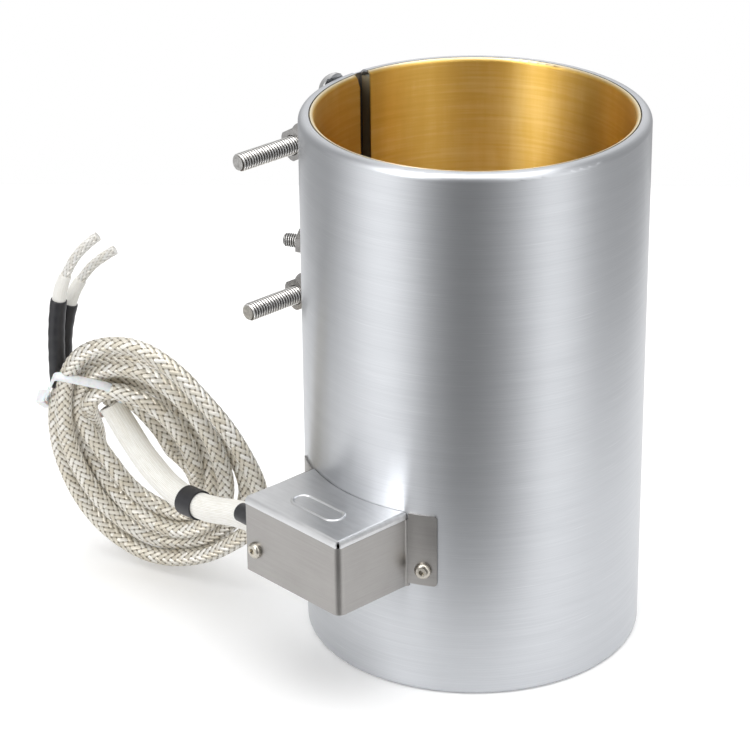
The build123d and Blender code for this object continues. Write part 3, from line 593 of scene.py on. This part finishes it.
def brushed_shell():
    """Stainless jacket brushed round the band, with scattered short scratches.
    Faces that look at the bore axis get painted shade for the inside of the split: nearly black deep down, grey
    at the rim."""
    tree = Tree("brushed_shell")
    round_way, height, x, y = round_place(tree)
    fine = tree.noise(stretch(tree, round_way, height, 16.0, 2600.0), 1.0, 4.0, 0.6)
    coarse_lay = stretch(tree, round_way, height, 26.0, 260.0, 3.0)
    coarse = tree.noise(coarse_lay, 1.0, 2.0, 0.5)
    scratch_lay = stretch(tree, round_way, height, 45.0, 1300.0, 9.0)
    scratch = tree.scale(tree.noise(scratch_lay, 1.0, 1.0, 0.4), 0.0, 1.0, 0.66, 0.78)
    cloud = tree.noise(tree.vector(round_way, height, 0.0), 14.0, 2.0, 0.5)
    tone = tree.math("ADD", tree.math("MULTIPLY", fine, 0.75), tree.math("MULTIPLY", coarse, 0.25))
    colour = tree.ramp(tone, [(0.25, (0.515, 0.53, 0.555)), (0.75, (0.62, 0.635, 0.66))])
    colour = tree.mix(tree.math("MULTIPLY", scratch, 0.16), colour, (0.85, 0.86, 0.88))
    facing = tree.axes(tree.nodes.new("ShaderNodeNewGeometry").outputs["Normal"])
    outward = tree.math("ADD", tree.math("MULTIPLY", facing[0], x), tree.math("MULTIPLY", facing[1], y))
    # Painted shade for the inside of the split: faces that look at the bore axis are nearly black, greying
    # towards the rim.
    near_rim = tree.scale(height, 0.0, 1.0, 221.0 * MM, 229.0 * MM)
    painted_split_shade = tree.mix(near_rim, (0.05, 0.045, 0.045), (0.42, 0.42, 0.43))
    colour = tree.mix(tree.scale(outward, 1.0, 0.0, -0.04, -0.02), colour, painted_split_shade)
    rough = tree.scale(tree.math("ADD", fine, tree.math("MULTIPLY", cloud, 0.5)), 0.35, 0.40, 0.45, 1.05)
    radial_grain(tree)
    tree.bump(tree.math("ADD", fine, tree.math("MULTIPLY", scratch, -0.6)), 0.000008, 0.5)
    return tree.set(
        Base_Color=colour, Metallic=1.0, Roughness=rough, Anisotropic=0.75, Anisotropic_Rotation=0.25
    )


def golden_liner():
    """Brass liner: drawn round the bore, clouded, with faint upright streaks and a pale painted highlight along
    its rims.
    """
    tree = Tree("golden_liner")
    round_way, height, x, y = round_place(tree)
    streak = tree.noise(stretch(tree, round_way, height, 160.0, 18.0), 1.0, 4.0, 0.6)
    hoop = tree.noise(stretch(tree, round_way, height, 20.0, 500.0, 5.0), 1.0, 3.0, 0.6)
    cloud = tree.noise(tree.vector(round_way, height, 0.0), 22.0, 3.0, 0.6)
    tone = tree.math("ADD", tree.math("MULTIPLY", streak, 0.2), tree.math("MULTIPLY", hoop, 0.35))
    tone = tree.math("ADD", tone, tree.math("MULTIPLY", cloud, 0.45))
    colour = tree.ramp(tone, [(0.3, (0.67, 0.405, 0.075)), (0.5, (0.76, 0.495, 0.12)),
                              (0.75, (0.90, 0.68, 0.29))])
    radius = tree.math("SQRT", tree.math("ADD", tree.math("MULTIPLY", x, x), tree.math("MULTIPLY", y, y)))
    # Painted highlight: the liner's rim, just outside the bore, is mixed towards pale cream.
    painted_rim_highlight = tree.scale(radius, 0.0, 1.0, bore_radius + 0.2 * MM, bore_radius + 1.2 * MM)
    colour = tree.mix(painted_rim_highlight, colour, (0.97, 0.86, 0.62))
    rough = tree.scale(tone, 0.42, 0.52, 0.3, 0.75)
    radial_grain(tree)
    tree.bump(tone, 0.00004, 0.5)
    return tree.set(
        Base_Color=colour, Metallic=1.0, Roughness=rough, Anisotropic=0.93, Anisotropic_Rotation=0.25,
        Coat_Weight=0.25, Coat_Roughness=0.35,
    )


def rolled_steel(name, dark, light, low, high, grain=(300.0, 300.0, 40.0), depth=0.00003):
    """Sheet or bar steel with a fine directional grain and soft clouding."""
    tree = Tree(name)
    x, y, z = tree.axes()
    lay = tree.vector(*[tree.math("MULTIPLY", place, size) for place, size in zip((x, y, z), grain)])
    fine = tree.noise(lay, 1.0, 4.0, 0.6)
    cloud = tree.noise(tree.vector(x, y, z), 60.0, 3.0, 0.6)
    tone = tree.math("ADD", tree.math("MULTIPLY", fine, 0.55), tree.math("MULTIPLY", cloud, 0.45))
    colour = tree.ramp(tone, [(0.3, dark), (0.7, light)])
    rough = tree.scale(tone, low, high, 0.3, 0.7)
    tree.bump(fine, depth, 0.5)
    return tree.set(Base_Color=colour, Metallic=1.0, Roughness=rough)


def braid(name, bundles, cell, gap_shade_depth=1.0, lift=0.0):
    """Silvery glass-fibre braid over its modelled bundles: strands, painted shade in the gaps and holes between
    bundles, and stray lighter bundles.
    The third argument sets how dark that painted shade is, and lift makes the whole braid lighter."""
    tree = Tree(name)
    turn, along, _ = mapped_place(tree, "cord")
    around = tree.math("MULTIPLY", turn, float(bundles))
    forward = tree.math("DIVIDE", along, cell * 2)
    first = tree.math("ADD", around, forward)
    second = tree.math("SUBTRACT", around, forward)
    whole = tree.math("ADD", tree.math("FLOOR", first), tree.math("FLOOR", second))
    over = tree.math("LESS_THAN", tree.math("FLOORED_MODULO", whole, 4.0), 2.0)
    part = tree.mix_number(over, tree.math("FRACT", second), tree.math("FRACT", first))
    crown = tree.math("SINE", tree.math("MULTIPLY", part, pi))
    strands = tree.math("ABSOLUTE", tree.math("SINE", tree.math("MULTIPLY", part, pi * 5)))
    bundle = tree.mix_number(over, tree.math("FLOOR", second), tree.math("FLOOR", first))
    pick = tree.nodes.new("ShaderNodeTexWhiteNoise")
    pick.noise_dimensions = "2D"
    stretch_number = tree.math("FLOOR", tree.math("MULTIPLY", forward, 0.5))
    tree.links.new(tree.vector(bundle, stretch_number, 0.0), pick.inputs["Vector"])
    own_tone = tree.math("MULTIPLY", pick.outputs["Value"], 0.45)
    shade = tree.math("ADD", own_tone, tree.math("MULTIPLY", strands, 0.55))
    shade = tree.math("ADD", shade, lift)
    tones = [(0.05, (0.52, 0.45, 0.33)), (0.5, (0.84, 0.79, 0.68)), (0.9, (0.98, 0.97, 0.94))]
    colour = tree.ramp(shade, tones)
    # Painted shade: darker where a bundle dips under its neighbour, darkest in the holes at the bundles'
    # corners.
    gap = tree.scale(crown, 1.0, 0.0, 0.05, 0.62)
    colour = tree.mix(tree.math("MULTIPLY", gap, 0.6 * gap_shade_depth), colour, (0.33, 0.28, 0.20))
    other = tree.mix_number(over, tree.math("FRACT", first), tree.math("FRACT", second))
    corner = tree.math("MAXIMUM", crown, tree.math("SINE", tree.math("MULTIPLY", other, pi)))
    braid_hole_shade = tree.scale(corner, 1.0, 0.0, 0.45, 0.62)
    colour = tree.mix(tree.math("MULTIPLY", braid_hole_shade, 0.8 * gap_shade_depth), colour, (0.15, 0.125, 0.085))
    height = tree.math("ADD", crown, tree.math("MULTIPLY", strands, 0.25))
    tree.bump(height, 0.0005, 0.7)
    return tree.set(Base_Color=colour, Metallic=0.4, Roughness=0.32)


def white_sleeve():
    """Off-white woven glass sleeve: fine ribs along it and faint yellowing."""
    tree = Tree("white_sleeve")
    turn, along, _ = mapped_place(tree, "cord")
    ribs = tree.math("ABSOLUTE", tree.math("SINE", tree.math("MULTIPLY", turn, pi * 52)))
    weave = tree.noise(stretch(tree, turn, along, 60.0, 160.0), 1.0, 3.0, 0.6)
    stain = tree.noise(stretch(tree, turn, along, 3.0, 22.0, 4.0), 1.0, 2.0, 0.5)
    tone = tree.math("ADD", tree.math("MULTIPLY", ribs, 0.3), tree.math("MULTIPLY", weave, 0.7))
    colour = tree.ramp(tone, [(0.2, (0.74, 0.70, 0.60)), (0.6, (0.96, 0.95, 0.91))])
    colour = tree.mix(tree.scale(stain, 0.0, 0.4, 0.5, 0.8), colour, (0.80, 0.72, 0.56))
    tree.bump(tree.math("ADD", ribs, weave), 0.00018, 0.5)
    return tree.set(Base_Color=colour, Roughness=0.5, Sheen_Weight=0.2)


def soft_plastic(name, colour, rough, speck=0.15, depth=0.00005, **extra):
    """Plain plastic with a little unevenness in its gloss and surface."""
    tree = Tree(name)
    x, y, z = tree.axes()
    cloud = tree.noise(tree.vector(x, y, z), 350.0, 4.0, 0.6)
    lighter = tuple(min(1.0, value * (1 + speck) + 0.01) for value in colour)
    tone = tree.ramp(cloud, [(0.3, colour), (0.75, lighter)])
    roughness = tree.scale(cloud, rough - 0.07, rough + 0.09, 0.3, 0.7)
    tree.bump(cloud, depth, 0.5)
    return tree.set(Base_Color=tone, Roughness=roughness, **extra)


def cut_thread():
    """Plated thread: a painted highlight on the crests and painted shade in the grooves, with slight
    unevenness.
    """
    tree = Tree("cut_thread")
    groove = mapped_place(tree, "thread")[0]
    thread_unevenness = tree.noise(tree.vector(*tree.axes()), 900.0, 3.0, 0.6)
    shade = tree.math("ADD", groove, tree.scale(thread_unevenness, -0.08, 0.08, 0.3, 0.7))
    # Painted light on the thread: bright crests as a painted highlight, dark grooves as painted shade.
    colour = tree.ramp(shade, [(0.15, (0.88, 0.87, 0.85)), (0.6, (0.10, 0.09, 0.08))])
    rough = tree.scale(shade, 0.2, 0.5, 0.0, 1.0)
    tree.bump(thread_unevenness, 0.00002, 0.4)
    return tree.set(Base_Color=colour, Metallic=1.0, Roughness=rough)


looks = {
    "thread": cut_thread(),
    "shell": brushed_shell(),
    "liner": golden_liner(),
    "box": rolled_steel("box_sheet", (0.31, 0.299, 0.289), (0.385, 0.373, 0.362), 0.28, 0.42,
                        (40.0, 40.0, 1500.0)),
    "lid": rolled_steel("lid_sheet", (0.56, 0.565, 0.575), (0.70, 0.705, 0.715), 0.30, 0.42,
                        (60.0, 500.0, 60.0)),
    "zinc": rolled_steel("zinc_plated", (0.38, 0.37, 0.36), (0.58, 0.57, 0.56), 0.14, 0.26,
                         (260.0, 260.0, 260.0)),
    "nickel": rolled_steel("nickel_plated", (0.42, 0.39, 0.34), (0.56, 0.53, 0.47), 0.2, 0.32,
                           (300.0, 300.0, 300.0)),
    "dome": rolled_steel("bright_dome", (0.60, 0.60, 0.60), (0.74, 0.74, 0.74), 0.12, 0.22,
                         (200.0, 200.0, 200.0)),
    "lug": rolled_steel("lug_steel", (0.46, 0.45, 0.44), (0.62, 0.61, 0.60), 0.28, 0.42, (200.0, 400.0, 60.0)),
    "braid": braid("silver_braid", braid_bundles, braid_cell),
    "tail": braid("tail_braid", tail_bundles, tail_cell, 0.4, 0.3),
    "white": white_sleeve(),
    "shrink": soft_plastic("shrink_black", (0.012, 0.012, 0.015), 0.42),
    "black": soft_plastic("black_moulded", (0.018, 0.018, 0.02), 0.36),
    "nylon": soft_plastic("clear_nylon", (0.80, 0.82, 0.84), 0.3, 0.05, Subsurface_Weight=0.35,
                          Subsurface_Scale=0.003),
    "mica": soft_plastic("mica_board", (0.60, 0.52, 0.36), 0.5),
    "element": rolled_steel("element_strip", (0.40, 0.37, 0.33), (0.52, 0.49, 0.45), 0.35, 0.5),
    "fibre": soft_plastic("ceramic_fibre", (0.84, 0.83, 0.79), 0.85, 0.1, 0.0004),
    "ceramic": soft_plastic("ceramic_block", (0.84, 0.81, 0.74), 0.55, 0.08),
    "inner_white": soft_plastic("inner_sleeving", (0.82, 0.80, 0.74), 0.6, 0.1, 0.0002),
}
node_looks = {
    "outer_shell": "shell",
    "inner_liner": "liner",
    "inner_mica": "mica",
    "outer_mica": "mica",
    "heating_element": "element",
    "insulation_blanket": "fibre",
    "domed_screw": "dome",
    "box_body": "box",
    "box_cover": "box",
    "box_lid": "lid",
    "box_screws": "nickel",
    "terminal_block": "ceramic",
    "ring_terminals": "nickel",
    "inner_leads": "inner_white",
    "outlet_grommet": "black",
    "spare_outlet_cap": "black",
    "sleeve_band": "shrink",
}
for name, node in nodes.items():
    if name.endswith(("_sleeve", "_saddle")) and "tail" not in name:
        look = "lug"
    else:
        look = node_looks.get(name, "zinc")
    node.data.materials.clear()
    node.data.materials.append(looks[look])


# Cords: what they are, what they stand for and how they ride
def dress(piece, look, slot, *replaced):
    """Give a piece its material and its body, and hide the nodes that it stands for; slot, the finish slot, is
    not used.
    """
    piece.data.materials.append(looks[look])
    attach(piece, "band")
    if replaced:
        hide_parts(*replaced)
    return piece


dress(braided_lead, "braid", "silver_braid", "lead_coil")
dress(outlet_sleeve, "white", "white_sleeving", "lead_sleeve")
for piece in (tie_strap, tie_head):
    dress(piece, "nylon", "clear_nylon", "cable_tie")
for side, (tail, rings, shrink, tail_sleeve) in tail_pieces.items():
    dress(tail, "tail", "silver_braid", side + "_tail_lead")
    dress(shrink, "shrink", "black_shrink", side + "_shrink_tube")
    dress(tail_sleeve, "white", "white_sleeving", side + "_tail_sleeve")


# Pressed line on the lid: how deep its underside lies in the sheet, and how far it lies from the lid's
# middle towards the front
rib_sink = 0.02 * MM
rib_offset = 4.0 * MM


def pressed_rib(name, middle, half, radius, width, height, around=96, across=9):
    """Raised line along a long rounded loop: half is half of its straight part, radius its ends' radius."""
    straight = 2 * half
    lap = 2 * straight + tau * radius
    places = []
    for i in range(around):
        travel = lap * i / around
        if travel < straight:
            at, out = Vector((travel - half, radius, 0)), Vector((0, 1, 0))
        elif travel < straight + pi * radius:
            turn = pi / 2 - (travel - straight) / radius
            out = Vector((cos(turn), sin(turn), 0))
            at = Vector((half, 0, 0)) + out * radius
        elif travel < 2 * straight + pi * radius:
            at, out = Vector((half - (travel - straight - pi * radius), -radius, 0)), Vector((0, -1, 0))
        else:
            turn = -pi / 2 - (travel - 2 * straight - pi * radius) / radius
            out = Vector((cos(turn), sin(turn), 0))
            at = Vector((-half, 0, 0)) + out * radius
        for j in range(across):
            share = 2 * j / (across - 1) - 1
            rise = height * cos(share * pi / 2) ** 1.5 - rib_sink
            places.append(middle + at + out * share * width / 2 + Vector((0, 0, rise)))
    faces = []
    for i in range(around):
        k = (i + 1) % around
        for j in range(across):
            m = (j + 1) % across
            faces.append((i * across + j, k * across + j, k * across + m, i * across + m))
    return mesh_object(name, places, faces, np.arange(len(faces)) % across < across - 1)


lid = nodes["box_lid"]
lid_corners = [lid.matrix_world @ Vector(corner) for corner in lid.bound_box]
lid_middle = sum(lid_corners, Vector()) / 8 - Vector((0.0, rib_offset, 0.0))
lid_middle.z = max(corner.z for corner in lid_corners)
lid_rib = pressed_rib("lid_rib", lid_middle, 9.0 * MM, 4.5 * MM, 1.7 * MM, 0.5 * MM)
dress(lid_rib, "lid", "box_steel")


# Threaded bolts and the earth stud, which stand for the plain CAD shanks.
# plain_shade is what the map "thread" holds where there is no thread.
plain_shade = 0.33


def threaded_rod(name, origin, direction, profile, around=40):
    """Turned rod along a direction. Its profile lists distance, radius, thread depth and pitch.
    The map "thread" holds how deep in the thread's groove each point lies, for the material."""
    out = Vector(direction).normalized()
    side = out.orthogonal().normalized()
    up = out.cross(side)
    rows = []
    deep = []
    for distance, radius, depth, pitch in profile:
        for j in range(around):
            angle = tau * j / around
            phase = (distance / pitch - j / around) % 1.0
            groove = max(0.0, 1.0 - abs(phase - 0.5) * 2.4)
            wall = radius - groove * depth
            deep.append(groove if depth else plain_shade)
            rows.append(Vector(origin) + out * distance + (side * cos(angle) + up * sin(angle)) * wall)
    count = len(profile)
    faces = []
    for i in range(count - 1):
        for j in range(around):
            k = (j + 1) % around
            faces.append((i * around + j, i * around + k, (i + 1) * around + k, (i + 1) * around + j))
    faces.append(tuple(reversed(range(around))))
    faces.append(tuple((count - 1) * around + j for j in range(around)))
    flat = [(deep[place], 0.0) for face in faces for place in face]
    smooth = [len(face) == 4 for face in faces]
    return mesh_object(name, rows, faces, smooth, "thread", flat)


def thread_profile(plain, end, radius, depth, pitch, chamfer, steps=12):
    """Rows of a rod: a plain shank, a thread and a chamfered tip."""
    rows = [(0.0, radius, 0.0, pitch), (plain, radius, 0.0, pitch)]
    distance = plain + pitch / steps
    while distance < end:
        limit = min(radius, radius - chamfer + (end - distance))
        rows.append((distance, limit, depth * min(1.0, (distance - plain) / pitch), pitch))
        distance += pitch / steps
    rows.append((end, radius - chamfer, 0.0, pitch))
    return rows


def hex_head(name, origin, direction, flats, height, chamfer):
    """Hexagon head with rounded-off corners."""
    out = Vector(direction).normalized()
    side = Vector((1, 0, 0))
    up = out.cross(side)
    around = 72
    rows = []
    bevel = chamfer * 0.6
    for distance, trim in ((0.0, chamfer), (bevel, 0.0), (height - bevel, 0.0), (height, chamfer)):
        for j in range(around):
            angle = tau * j / around
            corner = (angle - pi / 6) % (pi / 3) - pi / 6
            hexagon = flats / 2 / cos(corner)
            wall = min(hexagon, flats / sqrt(3) - trim)
            rows.append(Vector(origin) + out * distance + (side * cos(angle) + up * sin(angle)) * wall)
    faces = []
    for i in range(3):
        for j in range(around):
            k = (j + 1) % around
            faces.append((i * around + j, i * around + k, (i + 1) * around + k, (i + 1) * around + j))
    faces.append(tuple(reversed(range(around))))
    faces.append(tuple(3 * around + j for j in range(around)))
    return mesh_object(name, rows, faces)


# Clamp bolts: the thread's pitch is the one that the photograph shows
bolt_head_face = 21.1 * MM
bolt_tips = {"upper": 57.5 * MM, "lower": 54.5 * MM}
bolt_plain = 36.0 * MM
bolt_radius = 3.97 * MM
bolt_flats = 13.0 * MM
bolt_head_height = 5.3 * MM
for level, height in bolt_heights.items():
    start = (bolt_x, bolt_head_face, height)
    bolt_length = bolt_head_face + bolt_tips[level]
    rows = thread_profile(bolt_plain, bolt_length, bolt_radius, 0.75 * MM, pitch=1.4 * MM, chamfer=0.8 * MM)
    rod = threaded_rod(level + "_bolt_thread", start, (0, -1, 0), rows)
    dress(rod, "thread", "zinc_steel", "clamp_bolts")
    head = hex_head(level + "_bolt_head", start, (0, 1, 0), bolt_flats, bolt_head_height, chamfer=0.7 * MM)
    dress(head, "zinc", "zinc_steel", "clamp_bolts")

# Earth stud, square to the shell beside the split
earth_way = Vector((cos(radians(205)), sin(radians(205)), 0))
stud_root = earth_way * 69.2 * MM + Vector((0, 0, 162.0 * MM))
stud_plain = 3.0 * MM
stud_length = 15.8 * MM
stud_radius = 2.97 * MM
rows = thread_profile(stud_plain, stud_length, stud_radius, 0.5 * MM, pitch=1.0 * MM, chamfer=0.7 * MM)
stud = threaded_rod("earth_stud_thread", stud_root, earth_way, rows)
dress(stud, "thread", "zinc_steel", "earth_stud")


# Floor, lights and surroundings
table_front = 0.158
table_side = 0.34
table_back = 0.5
table_corners = []
for toward, sign in ((table_front, -1), (table_front, 1), (-table_back, 1), (-table_back, -1)):
    across = sign * table_side
    table_corners.append(((toward + across) * sqrt(0.5), (across - toward) * sqrt(0.5), 0.0))
floor_object = mesh_object("floor", table_corners, [(0, 1, 2, 3)])
floor_tree = Tree("floor_paper")
floor_rays = floor_tree.nodes.new("ShaderNodeLightPath").outputs
seen_straight = floor_tree.math("MAXIMUM", floor_rays["Is Glossy Ray"], floor_rays["Is Transmission Ray"])
seen_straight = floor_tree.math("MAXIMUM", floor_rays["Is Camera Ray"], seen_straight)
glow = floor_tree.mix(seen_straight, (0.0, 0.0, 0.0), (0.12, 0.12, 0.12))
floor_object.data.materials.append(
    floor_tree.set(Base_Color=(0.93, 0.93, 0.93), Roughness=0.9, Emission_Color=glow, Emission_Strength=1.0)
)


def area_light(name, place, aim, size, power, colour=(1, 1, 1)):
    """Soft rectangular lamp at a place, aimed at a point."""
    light = bpy.data.lights.new(name, "AREA")
    light.shape = "RECTANGLE"
    light.size, light.size_y = size
    light.energy = power
    light.color = colour
    lamp = new_object(name, light)
    lamp.location = place
    lamp.rotation_mode = "QUATERNION"
    lamp.rotation_quaternion = (Vector(aim) - Vector(place)).to_track_quat("-Z", "Y")
    return lamp


area_light("overhead", (0.2, -0.1, 1.6), (0, 0, 0.1), (1.4, 1.4), 13.0)

world = bpy.data.worlds.new("studio")
scene.world = world
world.use_nodes = True
world.cycles.sampling_method = "NONE"


class WorldTree(Tree):
    """The same short calls for the surroundings."""

    def __init__(self, tree):
        self.nodes = tree.nodes
        self.links = tree.links


studio = WorldTree(world.node_tree)
way = studio.nodes.new("ShaderNodeTexCoord").outputs["Generated"]
way_x, way_y, way_z = studio.axes(way)
bearing = studio.math("ARCTAN2", way_y, way_x)


def strip(azimuth, width, strength):
    """Upright softbox at an azimuth: a soft-edged band of light."""
    off = studio.math("SUBTRACT", bearing, studio.math("RADIANS", azimuth))
    wrapped = studio.math("WRAP", off, pi, -pi)
    share = studio.math("DIVIDE", wrapped, radians(width))
    fall = studio.math("MULTIPLY", studio.math("MULTIPLY", share, share), -1.0)
    return studio.math("MULTIPLY", studio.math("EXPONENT", fall), strength)


# What metals mirror: a wide box behind, a dark gap, two upright boxes, each an azimuth, a width and a strength
base_level = 0.46
back_box = studio.math("MULTIPLY", strip(135.0, 34.0, 0.65), studio.scale(way_z, 0.1, 1.0, 0.0, 0.3))
mirrored = studio.math("ADD", back_box, strip(-52.0, 30.0, -0.28))
mirrored = studio.math("ADD", mirrored, base_level)
for azimuth, width, strength in ((9.0, 19.0, 0.86), (-112.0, 22.0, 0.88)):
    mirrored = studio.math("ADD", mirrored, strip(azimuth, width, strength))
# Two high, narrow boxes that the liner sees over its far rim
raised = studio.scale(way_z, 0.0, 1.0, 0.05, 0.5)
for azimuth, width, strength in ((-12.0, 13.0, 1.7), (-93.0, 13.0, 7.0)):
    high_box = studio.math("MULTIPLY", strip(azimuth, width, strength), raised)
    mirrored = studio.math("ADD", mirrored, high_box)
overhead = studio.scale(way_z, 0.0, 1.0, 0.75, 0.95)
mirrored = studio.mix_number(overhead, mirrored, 0.9)
mirrored = studio.math("MINIMUM", studio.math("MAXIMUM", mirrored, 0.02), 8.0)

# Light on matt surfaces is even, and the camera sees plain white
diffuse_level = 0.9
rays = studio.nodes.new("ShaderNodeLightPath").outputs
direct = studio.math("MAXIMUM", rays["Is Glossy Ray"], rays["Is Transmission Ray"])
shown = studio.mix_number(direct, diffuse_level, mirrored)
shown = studio.mix_number(rays["Is Camera Ray"], shown, 1.0)
background = studio.nodes["Background"]
studio.links.new(shown, background.inputs["Strength"])
background.inputs["Color"].default_value = (1.0, 1.0, 1.0, 1.0)

scene.view_settings.view_transform = "Standard"
